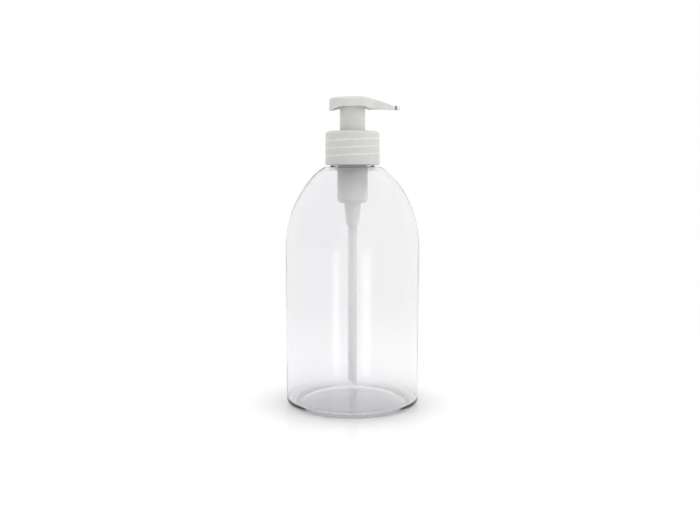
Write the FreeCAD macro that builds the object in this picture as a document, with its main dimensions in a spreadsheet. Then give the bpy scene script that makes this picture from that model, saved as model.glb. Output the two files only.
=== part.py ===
import FreeCAD, Part
import math
import os
import re

import Sketcher

# Pump bottle for massage oil: a blown bottle with a 28 mm screw neck, closed by a dispensing pump.
# Frame: origin at the middle of the base, +Z up, the beak of the pump points to +X. Millimetres.

SIZES = {
    # bottle
    "body_radius": 38.5,
    "body_wall": 0.7,
    "floor_wall": 1.2,
    "heel_round": 5.0,
    "punt_radius": 31.0,
    "punt_rise": 6.5,
    "dome_base": 89.3,
    "dome_rise": 52.8,
    "dome_wall": 1.7,
    "shoulder_radius": 16.3,
    "shoulder_wall": 1.0,
    "neck_radius": 12.5,
    "neck_bore": 10.8,
    "neck_round": 0.8,
    "mouth_height": 153.4,
    "bead_radius": 13.5,
    "bead_height": 138.9,
    "bead_width": 1.2,
    # thread shared by the neck and the collar
    "thread_pitch": 4.2333,
    "thread_turns": 1.5,
    "thread_start": 144.0,
    "neck_thread_radius": 13.6,
    "neck_thread_foot": 2.2,
    "neck_thread_crest": 1.0,
    "collar_thread_radius": 12.95,
    "collar_thread_foot": 1.6,
    "collar_thread_crest": 0.8,
    "thread_root": 0.2,
    # screw collar
    "collar_radius": 15.6,
    "collar_top_radius": 15.4,
    "collar_bore": 14.1,
    "collar_foot": 138.2,
    "collar_top": 157.3,
    "collar_plate": 1.3,
    "collar_hole": 8.8,
    "collar_round": 2.0,
    # lock ring
    "ring_bore": 7.4,
    "ring_skirt_radius": 9.6,
    "ring_foot": 141.3,
    "ring_flange_radius": 12.4,
    "ring_flange": 0.8,
    "ring_hub_radius": 8.6,
    "ring_lead_in": 0.35,
    "ring_play": 0.1,
    # neck gasket
    "gasket_bore": 10.45,
    "gasket_radius": 13.0,
    "gasket_thick": 0.8,
    # pump housing
    "flange_radius": 13.1,
    "flange_thick": 0.9,
    "throat_radius": 10.3,
    "throat_bore": 9.7,
    "throat_floor": 141.0,
    "throat_taper": 140.3,
    "barrel_top": 138.8,
    "barrel_radius": 8.7,
    "barrel_bore": 7.9,
    "barrel_floor": 118.0,
    "barrel_floor_wall": 1.2,
    "barrel_chamfer_radius": 6.9,
    "barrel_chamfer_rise": 2.6,
    "floor_chamfer_rise": 1.2,
    "funnel_top_radius": 4.9,
    "funnel_foot_radius": 3.5,
    "funnel_foot": 104.0,
    "socket_top": 112.0,
    "inlet_radius": 1.5,
    "inlet_seat": 113.2,
    "ball_pocket_radius": 2.7,
    "vent_radius": 0.6,
    "vent_height": 144.5,
    # dip tube
    "tube_radius": 2.75,
    "tube_bore": 2.0,
    "tube_low": 9.5,
    "tube_slant": 4.1,
    # valve balls and their keeper
    "inlet_ball_radius": 2.2,
    "outlet_ball_radius": 1.5,
    "ball_gap": 0.03,
    "keeper_radius": 5.6,
    "keeper_flange": 1.0,
    "keeper_boss_radius": 3.4,
    "keeper_boss": 2.5,
    "keeper_hole": 1.7,
    "keeper_slot": 1.0,
    "keeper_slots": 4,
    # return spring
    "spring_radius": 4.35,
    "wire_radius": 0.45,
    "spring_turns": 6.5,
    "spring_top": 138.0,
    "spring_gap": 0.02,
    # spring cap
    "cap_radius": 5.6,
    "cap_thick": 1.0,
    "cap_boss_radius": 3.3,
    "cap_boss": 2.5,
    "cap_hole": 1.9,
    "cap_gap": 0.1,
    # piston
    "piston_radius": 7.85,
    "piston_foot": 134.0,
    "piston_top": 141.0,
    "piston_lip": 0.9,
    "piston_web": 1.3,
    # stem
    "stem_radius": 3.25,
    "press_gap": 0.02,
    "stem_bore": 2.0,
    "stem_top": 170.4,
    "outlet_seat": 166.5,
    "outlet_throat": 0.9,
    "outlet_throat_length": 1.0,
    "outlet_pocket": 1.9,
    # pump head
    "head_radius": 13.4,
    "head_top_radius": 13.2,
    "head_foot": 168.7,
    "head_edge": 176.1,
    "head_top": 176.8,
    "head_round": 2.6,
    "arch_back": 12.6,
    "arch_half": 6.5,
    "arch_height": 170.4,
    "beak_foot": 169.7,
    "beak_foot_start": 8.5,
    "beak_root": 8.0,
    "beak_end": 22.5,
    "beak_root_half": 6.4,
    "beak_end_half": 2.1,
    "beak_root_side": 175.0,
    "beak_root_crown": 1.0,
    "beak_end_foot": 169.1,
    "beak_end_side": 171.9,
    "beak_end_crown": 0.9,
    "skirt_radius": 7.25,
    "skirt_bore": 6.05,
    "skirt_foot": 148.0,
    "socket_radius": 4.4,
    "socket_foot": 163.0,
    "hollow_radius": 12.1,
    "hollow_top": 174.8,
    "web_overlap": 0.4,
    "nose_height": 172.4,
    "nose_tilt": 4.5,
    "nose_tube_radius": 1.8,
    "nose_tube_start": 3.4,
    "nose_tube_length": 9.5,
    "nose_bore": 0.9,
    "channel_start": 0.2,
    "riser_bore": 1.1,
    "riser_top": 173.5,
    # nozzle tip
    "tip_shank_radius": 1.05,
    "tip_shank": 4.0,
    "tip_gap": 0.15,
    "tip_flange_radius": 1.55,
    "tip_flange": 0.9,
    "tip_neck_radius": 1.15,
    "tip_neck": 1.1,
    "tip_end_radius": 1.35,
    "tip_end": 2.4,
    "tip_bore": 0.65,
    "tip_mouth": 0.95,
    "tip_mouth_depth": 1.6,
}

# Heights that follow from others, written once.
PLATE_FOOT = "(collar_top - collar_plate)"
RING_FLANGE_TOP = "(collar_top - collar_plate - ring_play)"
RING_FLANGE_FOOT = "(collar_top - collar_plate - ring_play - ring_flange)"
FLANGE_FOOT = "(mouth_height + gasket_thick)"
FLANGE_TOP = "(mouth_height + gasket_thick + flange_thick)"
SHOULDER_TOP = "(dome_base + dome_rise * sqrt(1 - (shoulder_radius / body_radius)^2))"
INNER_RADIUS = "(body_radius - body_wall)"
INNER_RISE = "(dome_rise - dome_wall)"
INNER_SHOULDER = "(shoulder_radius - shoulder_wall)"
INNER_TOP = "(dome_base + (dome_rise - dome_wall) * sqrt(1 - ((shoulder_radius - shoulder_wall)" \
            " / (body_radius - body_wall))^2))"
STEM_FOOT = "(spring_top + cap_thick + cap_gap)"
FUNNEL_TOP = "(barrel_floor - barrel_floor_wall)"
SEAT_RISE = "(ball_pocket_radius - inlet_radius)"
SPRING_FOOT = "(barrel_floor + keeper_flange)"

doc = FreeCAD.newDocument("PumpOilBottle")
sheet = doc.addObject("Spreadsheet::Sheet", "Sizes")
for row, (alias, size) in enumerate(SIZES.items(), start=1):
    sheet.set("A%d" % row, alias)
    sheet.set("B%d" % row, str(size))
    sheet.setAlias("B%d" % row, alias)
doc.recompute()


def bound(expression):
    """Expression with every size name pointed at the sheet."""
    return re.sub(r"\b([a-z]+_[a-z_]+)\b", r"Sizes.\1", expression)


def value_of(expression):
    """Number that an expression on the sheet stands for."""
    return float(sheet.evalExpression(bound(expression)))


def bind(thing, prop, expression):
    """Drive a property from the sheet."""
    thing.setExpression(prop, bound(expression))


def new_body(label):
    """Empty body that becomes one sub-part."""
    body = doc.addObject("PartDesign::Body", label)
    body.Label = label
    return body


def origin_plane(body, role):
    """One of the body's own origin planes or axes."""
    return next(item for item in body.Origin.OriginFeatures if item.Role == role)


def new_sketch(body, name, role="XZ_Plane"):
    """Sketch lying on one of the body's origin planes."""
    sketch = body.newObject("Sketcher::SketchObject", name)
    sketch.AttachmentSupport = [(origin_plane(body, role), "")]
    sketch.MapMode = "FlatFace"
    return sketch


def hold(sketch, curve, end, across, up):
    """Tie a curve's end to a place measured from the sketch's origin."""
    for kind, axis, expression in (("DistanceX", -2, across), ("DistanceY", -1, up)):
        if expression == "0":
            sketch.addConstraint(Sketcher.Constraint("PointOnObject", curve, end, axis))
            continue
        size = value_of(expression)
        index = sketch.addConstraint(Sketcher.Constraint(kind, -1, 1, curve, end, size))
        bind(sketch, "Constraints[%d]" % index, expression)


def on_axis_arc(start, stop):
    """Arc of a circle between two points, its centre on the upright axis."""
    middle = (start.x ** 2 + start.y ** 2 - stop.x ** 2 - stop.y ** 2) / (2 * (start.y - stop.y))
    centre = FreeCAD.Vector(0, middle, 0)
    circle = Part.Circle(centre, FreeCAD.Vector(0, 0, 1), (start - centre).Length)
    low, high = sorted(circle.parameter(point) for point in (start, stop))
    return Part.ArcOfCircle(circle, low, high)


def bell_arc(start, stop, centre_height, rise):
    """Stretch of an upright ellipse from its widest point to where it is cut off."""
    centre = FreeCAD.Vector(0, centre_height, 0)
    crown = FreeCAD.Vector(0, centre_height + rise, 0)
    ellipse = Part.Ellipse(crown, FreeCAD.Vector(-max(start.x, stop.x), centre_height, 0), centre)
    low, high = sorted(ellipse.parameter(point) for point in (start, stop))
    return Part.ArcOfEllipse(ellipse, low, high)


def heel_arc(start, stop):
    """Quarter of a circle between the flat of a base and the wall."""
    centre = FreeCAD.Vector(min(start.x, stop.x), max(start.y, stop.y), 0)
    circle = Part.Circle(centre, FreeCAD.Vector(0, 0, 1), abs(stop.x - start.x))
    return Part.ArcOfCircle(circle, 1.5 * math.pi, 2 * math.pi)


def arch_arc(start, stop, radius):
    """Arc of a circle that bulges upwards between two points at one height."""
    centre_height = start.y - math.sqrt(radius ** 2 - start.x ** 2)
    centre = FreeCAD.Vector(0, centre_height, 0)
    circle = Part.Circle(centre, FreeCAD.Vector(0, 0, 1), radius)
    low, high = sorted(circle.parameter(point) for point in (start, stop))
    return Part.ArcOfCircle(circle, low, high)


def outline(sketch, corners):
    """Closed outline through corners (across, up, edge), where edge shapes the curve that leaves it.

    The edge is left out for a straight line, ("crown",) for an arc centred on the upright axis,
    ("heel", centre's distance) for a quarter circle, ("bell", centre height, rise) for a stretch of ellipse and
    ("arch", radius) for an arc over a flat.
    """
    spots = [FreeCAD.Vector(value_of(corner[0]), value_of(corner[1]), 0) for corner in corners]
    ends = []
    for index, corner in enumerate(corners):
        start = spots[index]
        stop = spots[(index + 1) % len(spots)]
        edge = corner[2] if len(corner) > 2 else ("line",)
        if edge[0] == "crown":
            curve = on_axis_arc(start, stop)
        elif edge[0] == "heel":
            curve = heel_arc(start, stop)
        elif edge[0] == "bell":
            curve = bell_arc(start, stop, value_of(edge[1]), value_of(edge[2]))
        elif edge[0] == "arch":
            curve = arch_arc(start, stop, value_of(edge[1]))
        else:
            curve = Part.LineSegment(start, stop)
        number = sketch.addGeometry(curve, False)
        forward = (curve.StartPoint - start).Length < (curve.EndPoint - start).Length
        ends.append((number, 1, 2) if forward else (number, 2, 1))
    for index, (number, _, tail) in enumerate(ends):
        following, head, _ = ends[(index + 1) % len(ends)]
        sketch.addConstraint(Sketcher.Constraint("Coincident", number, tail, following, head))
    for (number, head, _), corner in zip(ends, corners):
        hold(sketch, number, head, corner[0], corner[1])
        edge = corner[2] if len(corner) > 2 else ("line",)
        if edge[0] == "crown":
            sketch.addConstraint(Sketcher.Constraint("PointOnObject", number, 3, -2))
        if edge[0] == "heel":
            centre = Sketcher.Constraint("DistanceX", -1, 1, number, 3, value_of(edge[1]))
            bind(sketch, "Constraints[%d]" % sketch.addConstraint(centre), edge[1])
        if edge[0] == "bell":
            hold(sketch, number, 3, "0", edge[1])
        if edge[0] == "arch":
            radius = Sketcher.Constraint("Radius", number, value_of(edge[1]))
            bind(sketch, "Constraints[%d]" % sketch.addConstraint(radius), edge[1])
    return sketch


def turn(body, name, loops, kind="PartDesign::Revolution"):
    """Turn closed outlines once round the upright axis, adding or (Groove) taking away material."""
    sketch = new_sketch(body, name + "_outline")
    for corners in loops:
        outline(sketch, corners)
    feature = body.newObject(kind, name)
    feature.Profile = sketch
    feature.ReferenceAxis = (sketch, ["V_Axis"])
    feature.Angle = 360
    doc.recompute()
    return feature


def rectangle(inner, outer, foot, top):
    """Corners of a rectangle between two radii and two heights."""
    return [(inner, foot), (outer, foot), (outer, top), (inner, top)]


def ring_edges(feature, radius, height):
    """Names of the circular edges round the axis at a radius and a height."""
    wanted_radius = value_of(radius)
    wanted_height = value_of(height)
    names = []
    for number, edge in enumerate(feature.Shape.Edges, start=1):
        if edge.Degenerated or not isinstance(edge.Curve, Part.Circle):
            continue
        off_radius = abs(edge.Curve.Radius - wanted_radius)
        off_height = abs(edge.Curve.Center.z - wanted_height)
        if max(off_radius, off_height) < 0.01:
            names.append("Edge%d" % number)
    return names


def soften(body, name, feature, radius, height, size, kind="PartDesign::Fillet"):
    """Round or chamfer a ring edge of the last feature."""
    softened = body.newObject(kind, name)
    softened.Base = (feature, ring_edges(feature, radius, height))
    bind(softened, "Radius" if kind == "PartDesign::Fillet" else "Size", size)
    doc.recompute()
    return softened


def thread(body, name, root, crest, middle, foot_width, crest_width):
    """Single-start ridge wound up the axis, its section a trapezoid."""
    sketch = new_sketch(body, name + "_section")
    outline(sketch, [
        (root, "%s - %s / 2" % (middle, foot_width)),
        (crest, "%s - %s / 2" % (middle, crest_width)),
        (crest, "%s + %s / 2" % (middle, crest_width)),
        (root, "%s + %s / 2" % (middle, foot_width)),
    ])
    ridge = body.newObject("PartDesign::AdditiveHelix", name)
    ridge.Profile = sketch
    ridge.ReferenceAxis = (sketch, ["V_Axis"])
    ridge.Mode = 0
    bind(ridge, "Pitch", "thread_pitch")
    bind(ridge, "Height", "thread_pitch * thread_turns")
    doc.recompute()
    return ridge


def make_bottle():
    """Blown bottle: cylinder, elliptical dome, screw neck and pushed-up base."""
    body = new_body("bottle")
    bead_top = "(bead_height + bead_width)"
    heel_middle = "(body_radius - heel_round)"
    shell = turn(body, "wall", [[
        ("0", "punt_rise", ("crown",)),
        ("punt_radius", "0"),
        (heel_middle, "0", ("heel", heel_middle)),
        ("body_radius", "heel_round"),
        ("body_radius", "dome_base", ("bell", "dome_base", "dome_rise")),
        ("shoulder_radius", SHOULDER_TOP),
        ("neck_radius", SHOULDER_TOP),
        ("neck_radius", "bead_height"),
        ("bead_radius", "bead_height"),
        ("bead_radius", bead_top),
        ("neck_radius", bead_top),
        ("neck_radius", "mouth_height"),
        ("neck_bore", "mouth_height"),
        ("neck_bore", INNER_TOP),
        (INNER_SHOULDER, INNER_TOP, ("bell", "dome_base", INNER_RISE)),
        (INNER_RADIUS, "dome_base"),
        (INNER_RADIUS, "(heel_round + floor_wall - body_wall)", ("heel", heel_middle)),
        (heel_middle, "floor_wall"),
        ("punt_radius", "floor_wall", ("crown",)),
        ("0", "punt_rise + floor_wall"),
    ]])
    soften(body, "neck_root", shell, "neck_radius", SHOULDER_TOP, "neck_round")
    thread(body, "neck_thread", "neck_radius - thread_root", "neck_thread_radius", "thread_start",
           "neck_thread_foot", "neck_thread_crest")
    return body


def make_screw_collar():
    """Closure that pulls the pump's flange down on the neck."""
    body = new_body("screw_collar")
    shell = turn(body, "shell", [[
        ("collar_bore", "collar_foot"),
        ("collar_radius", "collar_foot"),
        ("collar_top_radius", "collar_top"),
        ("collar_hole", "collar_top"),
        ("collar_hole", PLATE_FOOT),
        ("collar_bore", PLATE_FOOT),
    ]])
    soften(body, "shoulder", shell, "collar_top_radius", "collar_top", "collar_round")
    thread(body, "collar_thread", "collar_bore + thread_root", "collar_thread_radius",
           "(thread_start - thread_pitch / 2)", "collar_thread_foot", "collar_thread_crest")
    return body


def make_lock_ring():
    """Ring in the housing's throat: guides the head's skirt and stops the piston."""
    body = new_body("lock_ring")
    ring = turn(body, "ring", [[
        ("ring_bore", "ring_foot"),
        ("ring_skirt_radius", "ring_foot"),
        ("ring_skirt_radius", RING_FLANGE_FOOT),
        ("ring_flange_radius", RING_FLANGE_FOOT),
        ("ring_flange_radius", RING_FLANGE_TOP),
        ("ring_hub_radius", RING_FLANGE_TOP),
        ("ring_hub_radius", "collar_top"),
        ("ring_bore", "collar_top"),
    ]])
    soften(body, "lead_in", ring, "ring_bore", "collar_top", "ring_lead_in", "PartDesign::Chamfer")
    return body


def make_neck_gasket():
    """Soft washer between the bottle's mouth and the housing's flange."""
    body = new_body("neck_gasket")
    turn(body, "washer", [rectangle("gasket_bore", "gasket_radius", "mouth_height", FLANGE_FOOT)])
    return body


def make_pump_housing():
    """Stepped cylinder with the inlet valve seat and the funnel that takes the dip tube."""
    body = new_body("pump_housing")
    turn(body, "cylinder", [[
        ("tube_radius + press_gap", "funnel_foot"),
        ("funnel_foot_radius", "funnel_foot"),
        ("funnel_top_radius", FUNNEL_TOP),
        ("barrel_chamfer_radius", FUNNEL_TOP),
        ("barrel_radius", FUNNEL_TOP + " + barrel_chamfer_rise"),
        ("barrel_radius", "barrel_top"),
        ("throat_radius", "throat_taper"),
        ("throat_radius", FLANGE_FOOT),
        ("flange_radius", FLANGE_FOOT),
        ("flange_radius", FLANGE_TOP),
        ("throat_bore", FLANGE_TOP),
        ("throat_bore", "throat_floor"),
        ("barrel_bore", "throat_floor"),
        ("barrel_bore", "barrel_floor + floor_chamfer_rise"),
        ("barrel_chamfer_radius", "barrel_floor"),
        ("ball_pocket_radius", "barrel_floor"),
        ("ball_pocket_radius", "inlet_seat + " + SEAT_RISE),
        ("inlet_radius", "inlet_seat"),
        ("inlet_radius", "socket_top"),
        ("tube_radius + press_gap", "socket_top"),
    ]])
    hole = new_sketch(body, "vent_circle", "YZ_Plane")
    middle = FreeCAD.Vector(0, value_of("vent_height"), 0)
    rim = Part.Circle(middle, FreeCAD.Vector(0, 0, 1), value_of("vent_radius"))
    hole.addGeometry(rim, False)
    hold(hole, 0, 3, "0", "vent_height")
    size = hole.addConstraint(Sketcher.Constraint("Radius", 0, value_of("vent_radius")))
    bind(hole, "Constraints[%d]" % size, "vent_radius")
    vent = body.newObject("PartDesign::Pocket", "vent")
    vent.Profile = hole
    bind(vent, "Length", "flange_radius")
    vent.Reversed = True
    doc.recompute()
    return body


def make_dip_tube():
    """Straight tube whose lower end is cut at a slant, so it can't seal on the base."""
    body = new_body("dip_tube")
    turn(body, "tube", [rectangle("tube_bore", "tube_radius", "tube_low", "socket_top")])
    wedge = outline(new_sketch(body, "slant_outline"), [
        ("tube_radius", "tube_low"),
        ("0 - tube_radius", "tube_low + tube_slant"),
        ("0 - tube_radius", "tube_low - tube_slant"),
    ])
    slant = body.newObject("PartDesign::Pocket", "slant")
    slant.Profile = wedge
    slant.Midplane = True
    bind(slant, "Length", "4 * tube_radius")
    doc.recompute()
    return body


def make_ball_retainer():
    """Slotted seat for the spring's foot, which also keeps the inlet ball in its pocket."""
    body = new_body("ball_retainer")
    boss_top = SPRING_FOOT + " + keeper_boss"
    turn(body, "seat", [[
        ("keeper_hole", "barrel_floor"),
        ("keeper_radius", "barrel_floor"),
        ("keeper_radius", SPRING_FOOT),
        ("keeper_boss_radius", SPRING_FOOT),
        ("keeper_boss_radius", boss_top),
        ("keeper_hole", boss_top),
    ]])
    sketch = outline(new_sketch(body, "slot_outline", "YZ_Plane"), [
        ("0 - keeper_slot / 2", SPRING_FOOT),
        ("keeper_slot / 2", SPRING_FOOT),
        ("keeper_slot / 2", boss_top + " + keeper_slot"),
        ("0 - keeper_slot / 2", boss_top + " + keeper_slot"),
    ])
    slot = body.newObject("PartDesign::Pocket", "slot")
    slot.Profile = sketch
    slot.Reversed = True
    bind(slot, "Length", "keeper_radius")
    doc.recompute()
    slots = body.newObject("PartDesign::PolarPattern", "slots")
    slots.Originals = [slot]
    slots.Axis = (sketch, ["V_Axis"])
    slots.Angle = 360
    bind(slots, "Occurrences", "keeper_slots")
    body.Tip = slots
    doc.recompute()
    return body


def make_return_spring():
    """Compression spring between the retainer and the spring cap."""
    body = new_body("return_spring")
    sketch = new_sketch(body, "wire_section")
    foot = "%s + wire_radius + spring_gap" % SPRING_FOOT
    middle = FreeCAD.Vector(value_of("spring_radius"), value_of(foot), 0)
    sketch.addGeometry(Part.Circle(middle, FreeCAD.Vector(0, 0, 1), value_of("wire_radius")), False)
    hold(sketch, 0, 3, "spring_radius", foot)
    size = sketch.addConstraint(Sketcher.Constraint("Radius", 0, value_of("wire_radius")))
    bind(sketch, "Constraints[%d]" % size, "wire_radius")
    coil = body.newObject("PartDesign::AdditiveHelix", "coil")
    coil.Profile = sketch
    coil.ReferenceAxis = (sketch, ["V_Axis"])
    coil.Mode = 0
    height = "(spring_top - %s - 2 * wire_radius - 2 * spring_gap)" % SPRING_FOOT
    bind(coil, "Pitch", height + " / spring_turns")
    bind(coil, "Height", height)
    doc.recompute()
    return body


def make_spring_cap():
    """Seat on the spring's top; the piston turns on it when the head is swivelled."""
    body = new_body("spring_cap")
    turn(body, "cap", [[
        ("cap_hole", "spring_top - cap_boss"),
        ("cap_boss_radius", "spring_top - cap_boss"),
        ("cap_boss_radius", "spring_top"),
        ("cap_radius", "spring_top"),
        ("cap_radius", "spring_top + cap_thick"),
        ("cap_hole", "spring_top + cap_thick"),
    ]])
    return body


def make_piston():
    """Soft wiper piston pressed on the stem's foot."""
    body = new_body("piston")
    inside = "piston_radius - piston_lip"
    web_top = STEM_FOOT + " + piston_web"
    turn(body, "wiper", [[
        ("stem_radius", STEM_FOOT),
        (inside, STEM_FOOT),
        (inside, "piston_foot"),
        ("piston_radius", "piston_foot"),
        ("piston_radius", "piston_top"),
        (inside, "piston_top"),
        (inside, web_top),
        ("stem_radius", web_top),
    ]])
    return body


def make_hollow_stem():
    """Tube from the piston to the head, with the outlet valve's seat near its top."""
    body = new_body("hollow_stem")
    turn(body, "tube", [[
        ("stem_bore", STEM_FOOT),
        ("stem_radius", STEM_FOOT),
        ("stem_radius", "stem_top"),
        ("outlet_pocket", "stem_top"),
        ("outlet_pocket", "outlet_seat + outlet_pocket - outlet_throat"),
        ("outlet_throat", "outlet_seat"),
        ("outlet_throat", "outlet_seat - outlet_throat_length"),
        ("stem_bore", "outlet_seat - outlet_throat_length"),
    ]])
    return body


def make_ball(label, radius, throat, seat):
    """Valve ball resting in a 45 degree seat."""
    ball = doc.addObject("Part::Sphere", label)
    ball.Label = label
    bind(ball, "Radius", radius)
    bind(ball, "Placement.Base.z", "%s - %s + (%s + ball_gap) * sqrt(2)" % (seat, throat, radius))
    doc.recompute()
    return ball


def beak_section(body, name, distance, half, foot, side, crown):
    """Cross-section of the beak: flat below, arched above, at a distance from the axis."""
    sketch = new_sketch(body, name, "YZ_Plane")
    bind(sketch, "AttachmentOffset.Base.z", distance)
    radius = "(%s^2 + %s^2) / (2 * %s)" % (half, crown, crown)
    return outline(sketch, [
        ("0 - " + half, foot),
        (half, foot),
        (half, side, ("arch", radius)),
        ("0 - " + half, side),
    ])


def nose_sketch(body, name, start, radius):
    """Circle square to the beak's channel, which runs out of the axis and dips a little."""
    sketch = new_sketch(body, name, "YZ_Plane")
    tilt = FreeCAD.Rotation(FreeCAD.Vector(1, 0, 0), SIZES["nose_tilt"])
    sketch.AttachmentOffset = FreeCAD.Placement(FreeCAD.Vector(), tilt)
    bind(sketch, "AttachmentOffset.Rotation.Angle", "nose_tilt")
    bind(sketch, "AttachmentOffset.Base.y", "nose_height - %s * tan(nose_tilt)" % start)
    bind(sketch, "AttachmentOffset.Base.z", start)
    circle = Part.Circle(FreeCAD.Vector(), FreeCAD.Vector(0, 0, 1), value_of(radius))
    sketch.addGeometry(circle, False)
    sketch.addConstraint(Sketcher.Constraint("Coincident", 0, 3, -1, 1))
    size = sketch.addConstraint(Sketcher.Constraint("Radius", 0, value_of(radius)))
    bind(sketch, "Constraints[%d]" % size, radius)
    return sketch


def nose_feature(body, name, kind, sketch, length, reverse=False):
    """Pad or pocket along the channel."""
    feature = body.newObject(kind, name)
    feature.Profile = sketch
    feature.Reversed = reverse
    bind(feature, "Length", length)
    doc.recompute()
    return feature


def make_pump_head():
    """Domed press head: thin shell, beak with its channel, skirt tube and socket for the stem."""
    body = new_body("pump_head")
    dome = turn(body, "dome", [[
        ("0", "head_foot"),
        ("head_radius", "head_foot"),
        ("head_top_radius", "head_edge", ("crown",)),
        ("0", "head_top"),
    ]])
    soften(body, "brow", dome, "head_top_radius", "head_edge", "head_round")
    below = "head_foot - 1"
    stem_socket = "(stem_radius + press_gap)"
    arch = outline(new_sketch(body, "arch_outline"), [
        ("0 - arch_back", below),
        ("beak_end", below),
        ("beak_end", "beak_foot"),
        ("beak_foot_start", "beak_foot"),
        ("arch_half", "arch_height"),
        ("0 - arch_half", "arch_height"),
    ])
    cut = body.newObject("PartDesign::Pocket", "arch")
    cut.Profile = arch
    cut.Midplane = True
    bind(cut, "Length", "4 * head_radius")
    doc.recompute()
    beak = body.newObject("PartDesign::AdditiveLoft", "beak")
    beak.Profile = beak_section(body, "beak_root_section", "beak_root", "beak_root_half", "beak_foot",
                                "beak_root_side", "beak_root_crown")
    beak.Sections = [beak_section(body, "beak_end_section", "beak_end", "beak_end_half",
                                  "beak_end_foot", "beak_end_side", "beak_end_crown")]
    doc.recompute()
    turn(body, "hollows", [
        rectangle("skirt_radius", "hollow_radius", below, "hollow_top"),
        rectangle("socket_radius", "skirt_bore", below, "hollow_top"),
        rectangle("0", stem_socket, below, "stem_top"),
    ], "PartDesign::Groove")
    tubes_top = "hollow_top + web_overlap"
    turn(body, "tubes", [
        rectangle("skirt_bore", "skirt_radius", "skirt_foot", tubes_top),
        rectangle(stem_socket, "socket_radius", "socket_foot", tubes_top),
    ])
    nose_feature(body, "channel_tube", "PartDesign::Pad",
                 nose_sketch(body, "channel_tube_circle", "nose_tube_start", "nose_tube_radius"),
                 "nose_tube_length")
    nose_feature(body, "channel", "PartDesign::Pocket",
                 nose_sketch(body, "channel_circle", "channel_start", "nose_bore"),
                 "beak_end * 2", True)
    nose_feature(body, "tip_socket", "PartDesign::Pocket",
                 nose_sketch(body, "tip_socket_circle", "(beak_end - tip_shank)",
                             "tip_shank_radius + press_gap"),
                 "tip_shank * 2", True)
    turn(body, "riser", [rectangle("0", "riser_bore", "stem_top", "riser_top")], "PartDesign::Groove")
    return body


def make_nozzle_tip():
    """Small tip pressed into the beak, turned on its own axis and then laid along the channel."""
    body = new_body("nozzle_tip")
    flange_end = "tip_shank + tip_flange"
    neck_end = flange_end + " + tip_neck"
    tip_length = neck_end + " + tip_end"
    turn(body, "tip", [[
        ("tip_bore", "0"),
        ("tip_shank_radius", "0"),
        ("tip_shank_radius", "tip_shank"),
        ("tip_flange_radius", "tip_shank"),
        ("tip_flange_radius", flange_end),
        ("tip_neck_radius", flange_end),
        ("tip_neck_radius", neck_end),
        ("tip_end_radius", neck_end),
        ("tip_end_radius", tip_length),
        ("tip_mouth", tip_length),
        ("tip_mouth", tip_length + " - tip_mouth_depth"),
        ("tip_bore", tip_length + " - tip_mouth_depth"),
    ]])
    body.Placement = FreeCAD.Placement(FreeCAD.Vector(), FreeCAD.Rotation(FreeCAD.Vector(0, 1, 0), 90))
    bind(body, "Placement.Rotation.Angle", "90 + nose_tilt")
    out = "beak_end - tip_shank + tip_gap"
    bind(body, "Placement.Base.x", out)
    bind(body, "Placement.Base.z", "nose_height - (%s) * tan(nose_tilt)" % out)
    doc.recompute()
    return body


subparts = [
    make_bottle(),
    make_screw_collar(),
    make_lock_ring(),
    make_neck_gasket(),
    make_pump_housing(),
    make_dip_tube(),
    make_ball_retainer(),
    make_return_spring(),
    make_spring_cap(),
    make_piston(),
    make_hollow_stem(),
    make_ball("inlet_ball", "inlet_ball_radius", "inlet_radius", "inlet_seat"),
    make_ball("outlet_ball", "outlet_ball_radius", "outlet_throat", "outlet_seat"),
    make_pump_head(),
    make_nozzle_tip(),
]

doc.recompute()
for item in doc.Objects:
    if "Invalid" in item.State or "Error" in item.State:
        raise RuntimeError("%s failed: %s" % (item.Label, item.getStatusString()))
for subpart in subparts:
    if subpart.Shape.isNull() or not subpart.Shape.isValid():
        raise RuntimeError("%s has no valid shape" % subpart.Label)

os.makedirs("parts", exist_ok=True)
for subpart in subparts:
    subpart.Shape.exportStep("parts/%s.step" % subpart.Label)
    print("%-14s %10.2f mm3, %d solid" % (subpart.Label, subpart.Shape.Volume, len(subpart.Shape.Solids)))
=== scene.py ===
"""Looks of the pump oil bottle: a clear bottle with a natural polypropylene dispensing pump."""

import logging
import math
from collections.abc import Callable, Iterator
from contextlib import contextmanager
from dataclasses import dataclass, field
from enum import Enum

import bpy
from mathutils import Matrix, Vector


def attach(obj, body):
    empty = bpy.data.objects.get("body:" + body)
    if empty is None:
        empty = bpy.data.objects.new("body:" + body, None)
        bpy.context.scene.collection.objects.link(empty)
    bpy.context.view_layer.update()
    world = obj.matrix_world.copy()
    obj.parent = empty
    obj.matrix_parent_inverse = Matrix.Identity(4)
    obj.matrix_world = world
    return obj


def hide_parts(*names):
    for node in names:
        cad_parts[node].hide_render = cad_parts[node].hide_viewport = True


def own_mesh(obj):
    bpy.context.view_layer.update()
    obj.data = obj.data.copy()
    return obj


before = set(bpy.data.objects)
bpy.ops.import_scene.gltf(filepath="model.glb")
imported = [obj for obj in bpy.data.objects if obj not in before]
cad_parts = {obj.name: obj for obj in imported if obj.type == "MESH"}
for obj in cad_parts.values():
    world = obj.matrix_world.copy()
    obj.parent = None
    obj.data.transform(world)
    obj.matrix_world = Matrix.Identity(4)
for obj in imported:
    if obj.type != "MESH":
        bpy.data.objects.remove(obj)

LOG = logging.getLogger("pump_bottle")
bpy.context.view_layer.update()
MM = 0.001
FULL_TURN = 2 * math.pi


class Body(Enum):
    """CAD bodies that the pieces ride on."""

    BOTTLE = "bottle"
    PUMP = "pump_body"
    COLLAR = "collar"
    PLUNGER = "plunger"
    HEAD = "head"
    INLET = "inlet_valve"
    OUTLET = "outlet_valve"


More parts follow.
